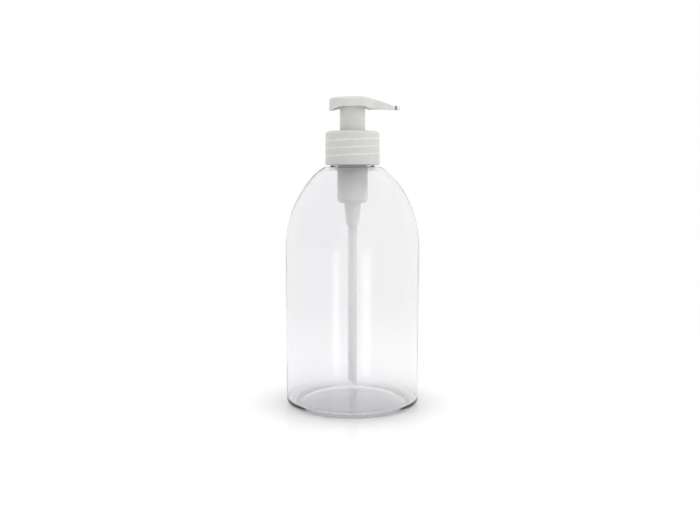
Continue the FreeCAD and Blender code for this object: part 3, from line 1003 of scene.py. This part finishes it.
@dataclass
class PumpHead(Piece):
    """Domed press head with its beak, hollow below, on the skirt tube."""

    radius: float = 13.4
    foot: float = 168.7
    edge: float = 175.95
    top: float = 176.8
    brow: float = 3.0
    hollow: float = 12.1
    hollow_top: float = 174.8
    skirt: float = 7.25
    skirt_bore: float = 6.05
    skirt_foot: float = 148.0
    socket: float = 4.4
    socket_bore: float = 3.27
    socket_foot: float = 163.0
    stem_top: float = 170.4
    beak_root: float = 5.0
    beak_end: float = 22.5
    beak_root_half: float = 10.5
    beak_end_half: float = 2.1
    beak_taper: float = 1.9
    beak_bevel: float = 1.5
    ridge_high: float = 176.72
    beak_low: float = 169.75
    droop: float = 0.055
    droop_growth: float = 0.0068
    belly_start: float = 8.5
    belly: float = 0.04
    nose_height: float = 172.4
    nose_tilt: float = math.radians(4.5)
    riser_bore: float = 1.1
    riser_top: float = 173.5
    nose_bore: float = 0.9
    nose_tube: float = 1.8
    tip_shank: float = 4.0
    tip_shank_radius: float = 1.07
    voxel: float = 0.27

    def ridge(self, out: float) -> float:
        """Height of the head's top line at a distance from the axis towards the nozzle, in millimetres."""
        return self.ridge_high - self.droop * out - self.droop_growth * out ** 2

    def slope(self) -> bpy.types.Object:
        """Cutter that lets the dome slope down into the beak."""
        line = [(out, self.ridge(out)) for out in range(1, 25)]
        return self.crossbar("slope_cutter", [(1.0, 180.0), *line, (24.0, 180.0)])

    def crossbar(self, name: str, corners: list[tuple]) -> bpy.types.Object:
        """Side outline drawn out straight across the head.

        Args:
            name: the bar's name.
            corners: its corners, as for rounded.

        Returns:
            The bar.
        """
        half = 1.5 * self.radius * MM
        bar = drawn(name, rounded(corners, 8))
        with editing():
            bpy.ops.mesh.edge_face_add()
            bpy.ops.transform.translate(value=(0.0, -half, 0.0))
            bpy.ops.mesh.extrude_region_move(TRANSFORM_OT_translate={"value": (0.0, 2 * half, 0.0)})
        return outward(bar)

    def beak_section(self, out: float) -> tuple[float, float, float]:
        """Half width, lowest and highest point of the beak at a distance from the axis.

        Args:
            out: the distance in millimetres.

        Returns:
            Half width, low and high, in millimetres.
        """
        share = (out - self.beak_root) / (self.beak_end - self.beak_root)
        spread = self.beak_root_half - self.beak_end_half
        half = self.beak_end_half + spread * (1 - share) ** self.beak_taper
        high = self.ridge(out)
        low = self.beak_low - self.belly * max(0.0, out - self.belly_start)
        return half, low, high

    def beak(self, steps: int = 12) -> bpy.types.Object:
        """Block drawn out towards the nozzle, narrowing and drooping step by step.

        Args:
            steps: how many times it is drawn out.

        Returns:
            The beak, its edges rounded.
        """
        half, low, high = self.beak_section(self.beak_root)
        bpy.ops.object.select_all(action="DESELECT")
        bpy.ops.mesh.primitive_cube_add(size=2 * MM)
        block = bpy.context.object
        block.name = "beak_block"
        block.scale = (0.5, half, (high - low) / 2)
        block.location = Vector((self.beak_root - 0.5, 0.0, (low + high) / 2)) * MM
        settled(block)
        select_faces(block, lambda centre, normal: normal.x > 0.9)
        step_out = (self.beak_end - self.beak_root) / steps
        for step in range(1, steps + 1):
            out = self.beak_root + step_out * step
            new_half, new_low, new_high = self.beak_section(out)
            lift = (new_low + new_high - low - high) / 2
            bpy.ops.mesh.extrude_region_move(
                TRANSFORM_OT_translate={"value": Vector((step_out, 0.0, lift)) * MM})
            middle = Vector((out, 0.0, (new_low + new_high) / 2)) * MM
            scale = (1.0, new_half / half, (new_high - new_low) / (high - low))
            bpy.ops.transform.resize(value=scale, center_override=middle)
            half, low, high = new_half, new_low, new_high
        outward(block)
        return modified(block, "BEVEL", {
            "width": self.beak_bevel * MM,
            "segments": 5,
            "limit_method": "ANGLE",
            "angle_limit": math.radians(40),
        })

    def arch(self) -> bpy.types.Object:
        """Cutter that arches the rim: low at the back, high beside the stem, flat under the beak."""
        return self.crossbar("arch_cutter", [
            (-14.5, 166.0), (-14.5, 168.7), (-12.8, 168.72, 1.5), (-6.8, 170.7, 3.0),
            (7.0, 170.7, 2.0), (9.3, 169.78, 2.0), (24.0, 169.2), (24.0, 166.0),
        ])

    def nose_spot(self, out: float) -> Vector:
        """Point on the channel's axis at a distance from the head's axis."""
        return Vector((out, 0.0, self.nose_height - out * math.tan(self.nose_tilt))) * MM

    def channel(self) -> bpy.types.Object:
        """Cutter for the channel down the beak, wider at the end for the nozzle tip's shank."""
        length = self.beak_end / math.cos(self.nose_tilt)
        core = turned("channel_core", rounded([
            (0.0, 0.0), (self.nose_bore, 0.0), (self.nose_bore, length - self.tip_shank),
            (self.tip_shank_radius, length - self.tip_shank), (self.tip_shank_radius, length + 2.0),
            (0.0, length + 2.0),
        ]), closed=False, steps=32)
        core.rotation_euler = (0.0, math.pi / 2 + self.nose_tilt, 0.0)
        core.location = self.nose_spot(0.0)
        return outward(settled(core))

    def shape(self) -> bpy.types.Object:
        """Carves the head out of its dome and beak and melts the joins together."""
        crown = [(self.radius * share, self.top - (self.top - self.edge) * share ** 2)
                 for share in (0.0, 0.2, 0.4, 0.6, 0.78)]
        head = turned(self.name, rounded([
            (0.0, self.foot), (self.radius, self.foot, 0.35),
            (self.radius - 0.15, self.edge - 0.05, self.brow), *reversed(crown),
        ], 10), closed=False, steps=128)
        combined(head, self.beak(), "UNION")
        combined(head, self.arch(), "DIFFERENCE")
        combined(head, self.slope(), "DIFFERENCE")
        combined(head, turned("rim_hollow", rounded([
            (0.0, 160.0), (self.hollow, 160.0), (self.hollow, self.hollow_top, 1.2),
            (0.0, self.hollow_top),
        ]), closed=False, steps=96), "DIFFERENCE")
        modified(head, "REMESH", {"mode": "VOXEL", "voxel_size": self.voxel * MM, "adaptivity": 0.0})
        modified(head, "SMOOTH", {"factor": 0.5, "iterations": 12})
        rooted = self.hollow_top + 0.4
        combined(head, turned("skirt_tube", rounded([
            (self.skirt_bore, self.skirt_foot, 0.25), (self.skirt, self.skirt_foot, 0.35),
            (self.skirt, rooted), (self.skirt_bore, rooted),
        ]), steps=96), "UNION")
        combined(head, turned("stem_socket", rounded([
            (0.0, self.stem_top), (self.socket_bore, self.stem_top),
            (self.socket_bore, self.socket_foot, 0.25), (self.socket, self.socket_foot, 0.3),
            (self.socket, rooted), (0.0, rooted),
        ]), closed=False, steps=64), "UNION")
        combined(head, rod("nose_tube", self.nose_spot(3.4), self.nose_spot(13.0), self.nose_tube * MM),
                 "UNION")
        combined(head, self.channel(), "DIFFERENCE")
        combined(head, rod("riser", Vector((0, 0, (self.stem_top - 1.0) * MM)),
                           Vector((0, 0, self.riser_top * MM)), self.riser_bore * MM, 28), "DIFFERENCE")
        return outward(head)


@dataclass
class NozzleTip(Piece):
    """Small tip pressed into the end of the beak."""

    beak_end: float = 22.5
    shank: float = 4.0
    nose_height: float = 172.4
    tilt: float = math.radians(4.5)
    corners: list[tuple] = field(default_factory=lambda: [
        (0.65, 0.0), (1.05, 0.0, 0.15), (1.05, 4.0), (1.55, 4.0, 0.2), (1.55, 4.9, 0.25),
        (1.15, 4.9, 0.1), (1.15, 6.0, 0.15), (1.35, 6.0, 0.15), (1.35, 8.4, 0.3),
        (0.95, 8.4, 0.15), (0.95, 6.8, 0.2), (0.65, 6.8, 0.1),
    ])

    def shape(self) -> bpy.types.Object:
        """Spins the tip and lays it along the channel."""
        tip = turned(self.name, rounded(self.corners, 4), steps=48)
        out = self.beak_end - self.shank
        tip.rotation_euler = (0.0, math.pi / 2 + self.tilt, 0.0)
        tip.location = Vector((out, 0.0, self.nose_height - out * math.tan(self.tilt))) * MM
        return outward(settled(tip))


# Sub-assemblies


def dressed(node: str, material: bpy.types.Material) -> None:
    """Gives a CAD node that stays as it is its finished material.

    Args:
        node: the node's name.
        material: the material.
    """
    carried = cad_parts[node]
    for holder in carried.material_slots:
        holder.material = material
    LOG.info("%s: CAD node dressed with %s", node, material.name)


@dataclass
class Closure:
    """Screw collar, the ring locked inside it and the soft washer on the bottle's mouth."""

    plastic: NaturalPlastic
    threaded: ThreadedPlastic
    soft: NaturalPlastic

    def build(self) -> None:
        """Builds the collar and the lock ring and dresses the washer."""
        Collar("collar_shell", "screw_collar", Body.COLLAR, Slot.NATURAL).build(self.threaded)
        TurnedPiece("lock_ring_guide", "lock_ring", Body.PUMP, Slot.NATURAL, corners=[
            (7.4, 141.3, 0.2), (9.6, 141.3, 0.3), (9.6, 155.1), (12.4, 155.1, 0.2),
            (12.4, 155.9, 0.2), (8.6, 155.9, 0.1), (8.6, 157.3, 0.25), (7.4, 157.3, 0.45),
        ]).build(self.plastic)
        dressed("neck_gasket", self.soft.make())


@dataclass
class PumpBody:
    """Cylinder of the pump with the dip tube, spring, keeper, spring cap and inlet ball."""

    plastic: NaturalPlastic
    cylinder: NaturalPlastic
    tube: NaturalPlastic
    steel: SpringSteel
    glass: BallGlass

    def build(self) -> None:
        """Builds the cylinder, tube and spring and dresses the small parts inside."""
        PumpHousing("pump_cylinder", "pump_housing", Body.PUMP, Slot.NATURAL).build(self.cylinder)
        DipTube("dip_tube_pipe", "dip_tube", Body.PUMP, Slot.TUBE).build(self.tube)
        ReturnSpring("spring_coil", "return_spring", Body.PUMP, Slot.STEEL).build(self.steel)
        inner = self.plastic.make()
        dressed("ball_retainer", inner)
        dressed("spring_cap", inner)
        glass = self.glass.make()
        dressed("inlet_ball", glass)
        dressed("outlet_ball", glass)


@dataclass
class Plunger:
    """Press head with its nozzle tip, the hollow stem and the piston."""

    head: NaturalPlastic
    tip: TipPlastic
    stem: NaturalPlastic
    seal: NaturalPlastic

    def build(self) -> None:
        """Builds the four pieces that rise and fall together."""
        PumpHead("press_head", "pump_head", Body.HEAD, Slot.HEAD).build(self.head)
        NozzleTip("nozzle_end", "nozzle_tip", Body.HEAD, Slot.TIP).build(self.tip)
        TurnedPiece("stem_tube", "hollow_stem", Body.HEAD, Slot.NATURAL, corners=[
            (2.0, 139.1, 0.2), (3.25, 139.1, 0.2), (3.25, 170.38, 0.3), (1.9, 170.38, 0.2),
            (1.9, 167.5), (0.9, 166.5), (0.9, 165.6, 0.1), (2.0, 165.6, 0.1),
        ], steps=64).build(self.stem)
        TurnedPiece("piston_seal", "piston", Body.HEAD, Slot.SOFT, corners=[
            (3.27, 139.1), (3.27, 140.4), (6.0, 140.4, 0.3), (6.95, 141.0, 0.15), (7.85, 141.0, 0.2),
            (7.6, 139.6, 0.6), (7.6, 135.6, 0.6), (7.85, 134.0, 0.2), (6.95, 134.0, 0.15),
            (6.95, 139.1, 0.4),
        ]).build(self.seal)


# Studio


@dataclass
class Studio:
    """Pale table, soft surrounding light, two strips for the gloss and a dipped camera."""

    table_tone: tuple = (0.93, 0.93, 0.935)
    # Painted contact shadow: the table's tone where the bottle shuts out the light.
    contact_shadow_tone: tuple = (0.70, 0.70, 0.705)
    table_roughness: float = 0.16
    table_near: float = 0.10
    table_far: float = 0.42
    white: float = 1.0
    sides: tuple = (-0.5, 0.5)
    behind: tuple = (-0.1, 0.5)
    left_light: float = 0.83
    right_light: float = 1.0
    strip_brightness: float = 2.6
    strip_side_fade: float = 0.45
    strip_end_fade: float = 0.35
    strip_distance: float = 0.118
    strip_foot: float = -0.02
    strip_top: float = 0.11
    contact_shadow_reach: float = 0.035
    contact_shadow_open: tuple = (0.45, 1.0)
    overhead_power: float = 4.4
    fill_power: float = 0.7
    bounces: int = 40
    strips: tuple = (("left_strip", -23.3, 0.036), ("right_strip", 19.0, 0.048))
    camera_place: tuple = (-1.445, -516.0, 134.5)
    camera_lens: float = 46.12
    camera_dip: float = math.radians(5.64)

    def table(self) -> None:
        """Builds the table: glossy and faintly mottled near the bottle, with a painted contact shadow round
        the bottle's foot, glowing white further out.
        """
        shader = Shader("pale_table")
        mottle = shader.noise(9.0, 3.0)
        lighter = tuple(min(1.0, part * 1.02) for part in self.table_tone)
        # Painted shadow: ambient occlusion darkens the table round the bottle's foot.
        occlusion_shadow = shader.node("ShaderNodeAmbientOcclusion", {"samples": 8}, {"Distance": self.contact_shadow_reach})
        shadow_openness = Value(shader, occlusion_shadow.outputs["AO"]).between(*self.contact_shadow_open)
        near = shader.node("ShaderNodeBsdfPrincipled", inputs={
            "Base Color": shader.blend(shadow_openness * (0.97 + mottle * 0.03), self.contact_shadow_tone, lighter),
            "Roughness": self.table_roughness + mottle * 0.03,
            "IOR": 1.45,
        })
        white = (1.0, 1.0, 1.0, 1.0)
        far = shader.node("ShaderNodeEmission", inputs={"Color": white, "Strength": self.white})
        across, back, _ = shader.axes()
        out = (across * across + back * back).root()
        material = shader.finish(shader.mixed(out.between(self.table_near, self.table_far), near, far))
        bpy.ops.object.select_all(action="DESELECT")
        bpy.ops.mesh.primitive_plane_add(size=60.0)
        plane = bpy.context.object
        plane.name = "table_top"
        plane.data.materials.append(material)

    def ramp(self, tree: bpy.types.NodeTree, given: bpy.types.NodeSocket,
             numbers: tuple) -> bpy.types.NodeSocket:
        """Smooth ramp in the world's or a lamp's tree.

        Args:
            tree: the node tree.
            given: what it reads.
            numbers: where it starts and ends, and its values there.

        Returns:
            The ramp's socket.
        """
        ramp = tree.nodes.new("ShaderNodeMapRange")
        ramp.interpolation_type = "SMOOTHSTEP"
        for socket, number in zip(("From Min", "From Max", "To Min", "To Max"), numbers):
            ramp.inputs[socket].default_value = number
        tree.links.new(given, ramp.inputs["Value"])
        return ramp.outputs["Result"]

    def world(self) -> None:
        """Surrounds the bottle with white behind and softer light in front, dimmest from the left."""
        world = bpy.data.worlds.new("studio_surround")
        world.use_nodes = True
        tree = world.node_tree
        place = tree.nodes.new("ShaderNodeTexCoord")
        parts = tree.nodes.new("ShaderNodeSeparateXYZ")
        tree.links.new(place.outputs["Generated"], parts.inputs["Vector"])
        sides = self.ramp(tree, parts.outputs["X"], (*self.sides, self.left_light, self.right_light))
        behind = self.ramp(tree, parts.outputs["Y"], (*self.behind, 0.0, 1.0))
        choice = tree.nodes.new("ShaderNodeMix")
        choice.inputs["B"].default_value = self.white
        tree.links.new(sides, choice.inputs["A"])
        tree.links.new(behind, choice.inputs["Factor"])
        background = tree.nodes["Background"]
        background.inputs["Color"].default_value = (1.0, 1.0, 1.0, 1.0)
        tree.links.new(choice.outputs["Result"], background.inputs["Strength"])
        bpy.context.scene.world = world

    def lamp(self, name: str, place: tuple, size: tuple, power: float, gloss: bool) -> None:
        """Adds a soft lamp that faces the bottle's axis.

        Args:
            name: the lamp's name.
            place: azimuth in degrees from the front to the right, then distance, height and the
                height that it points at, in metres.
            size: width and height in metres.
            power: watts.
            gloss: True for a lamp that only shows in glossy surfaces, False for one that only lights.
        """
        azimuth, distance, height, aim = place
        turn = math.radians(azimuth)
        light = bpy.data.lights.new(name, "AREA")
        light.shape = "RECTANGLE"
        light.size, light.size_y = size
        light.energy = power
        if gloss:
            self.soften(light)
        holder = bpy.data.objects.new(name, light)
        spot = Vector((math.sin(turn) * distance, -math.cos(turn) * distance, height))
        holder.location = spot
        holder.rotation_euler = (Vector((0.0, 0.0, aim)) - spot).to_track_quat("-Z", "Y").to_euler()
        holder.visible_diffuse = not gloss
        holder.visible_glossy = gloss
        holder.visible_transmission = False
        holder.visible_camera = False
        bpy.context.scene.collection.objects.link(holder)

    def soften(self, light: bpy.types.Light) -> None:
        """Fades a lamp towards its edges, so that its highlight has no outline.

        Args:
            light: the lamp's data.
        """
        light.use_nodes = True
        tree = light.node_tree
        surface = tree.nodes.new("ShaderNodeNewGeometry")
        parts = tree.nodes.new("ShaderNodeSeparateXYZ")
        tree.links.new(surface.outputs["Parametric"], parts.inputs["Vector"])
        fade = tree.nodes.new("ShaderNodeMath")
        fade.operation = "MULTIPLY"
        for index, (axis, edge) in enumerate((("X", self.strip_side_fade), ("Y", self.strip_end_fade))):
            offset = tree.nodes.new("ShaderNodeMath")
            offset.operation = "SUBTRACT"
            offset.inputs[1].default_value = 0.5
            tree.links.new(parts.outputs[axis], offset.inputs[0])
            away = tree.nodes.new("ShaderNodeMath")
            away.operation = "ABSOLUTE"
            tree.links.new(offset.outputs[0], away.inputs[0])
            faded = self.ramp(tree, away.outputs[0], (0.5, 0.5 - edge, 0.0, 1.0))
            tree.links.new(faded, fade.inputs[index])
        tree.links.new(fade.outputs[0], tree.nodes["Emission"].inputs["Color"])

    def camera(self) -> None:
        """Adds the camera, dipped towards the middle of the bottle."""
        lens = bpy.data.cameras.new("studio_camera")
        lens.lens = self.camera_lens
        lens.sensor_width = 36.0
        holder = bpy.data.objects.new("studio_camera", lens)
        holder.location = Vector(self.camera_place) * MM
        holder.rotation_euler = (math.pi / 2 - self.camera_dip, 0.0, 0.0)
        bpy.context.scene.collection.objects.link(holder)
        bpy.context.scene.camera = holder

    def build(self) -> None:
        """Sets up the table, light and camera."""
        scene = bpy.context.scene
        scene.view_settings.view_transform = "Standard"
        for kind in ("max_bounces", "transmission_bounces", "transparent_max_bounces"):
            setattr(scene.cycles, kind, self.bounces)
        self.table()
        self.world()
        low, high = self.strip_foot, self.strip_top
        middle = (low + high) / 2
        for name, azimuth, width in self.strips:
            power = self.strip_brightness * math.pi * width * (high - low)
            self.lamp(name, (azimuth, self.strip_distance, middle, middle), (width, high - low), power, True)
        self.lamp("overhead", (0.0, 0.05, 1.3, 0.0), (0.9, 0.9), self.overhead_power, False)
        self.lamp("right_fill", (72.0, 0.7, 0.2, 0.1), (0.35, 0.5), self.fill_power, False)
        self.camera()


def main() -> None:
    """Builds the bottle, the pump and the studio."""
    logging.basicConfig(level=logging.INFO, format="%(name)s: %(message)s")
    natural = NaturalPlastic("natural_polypropylene")
    Bottle("bottle_shell", "bottle", Body.BOTTLE, Slot.CLEAR).build(ClearPet())
    Closure(
        plastic=natural,
        threaded=ThreadedPlastic("collar_polypropylene", dark=(0.63, 0.625, 0.60), light=(0.84, 0.835, 0.81),
                                 see_through=0.05),
        soft=NaturalPlastic("soft_washer", dark=(0.70, 0.70, 0.69), light=(0.80, 0.80, 0.79)),
    ).build()
    PumpBody(
        plastic=natural,
        cylinder=CylinderPlastic("cylinder_polypropylene", dark=(0.72, 0.72, 0.71),
                                 light=(0.99, 0.99, 0.99), see_through=0.3),
        tube=NaturalPlastic("dip_tube_polyethylene", dark=(0.95, 0.95, 0.96), light=(0.99, 0.99, 0.995),
                            see_through=0.62, glow=0.0),
        steel=SpringSteel(),
        glass=BallGlass(),
    ).build()
    Plunger(
        head=NaturalPlastic("head_polypropylene", dark=(0.62, 0.615, 0.595), light=(0.68, 0.675, 0.655),
                            see_through=0.0),
        tip=TipPlastic("tip_polypropylene", dark=(0.16, 0.16, 0.16), light=(0.78, 0.78, 0.77),
                       see_through=0.0),
        stem=NaturalPlastic("stem_polypropylene", dark=(0.74, 0.745, 0.745), light=(0.84, 0.845, 0.845),
                            see_through=0.1),
        seal=NaturalPlastic("piston_polyethylene", dark=(0.66, 0.67, 0.67), light=(0.76, 0.77, 0.77)),
    ).build()
    Studio().build()


if __name__ == "__main__":
    main()
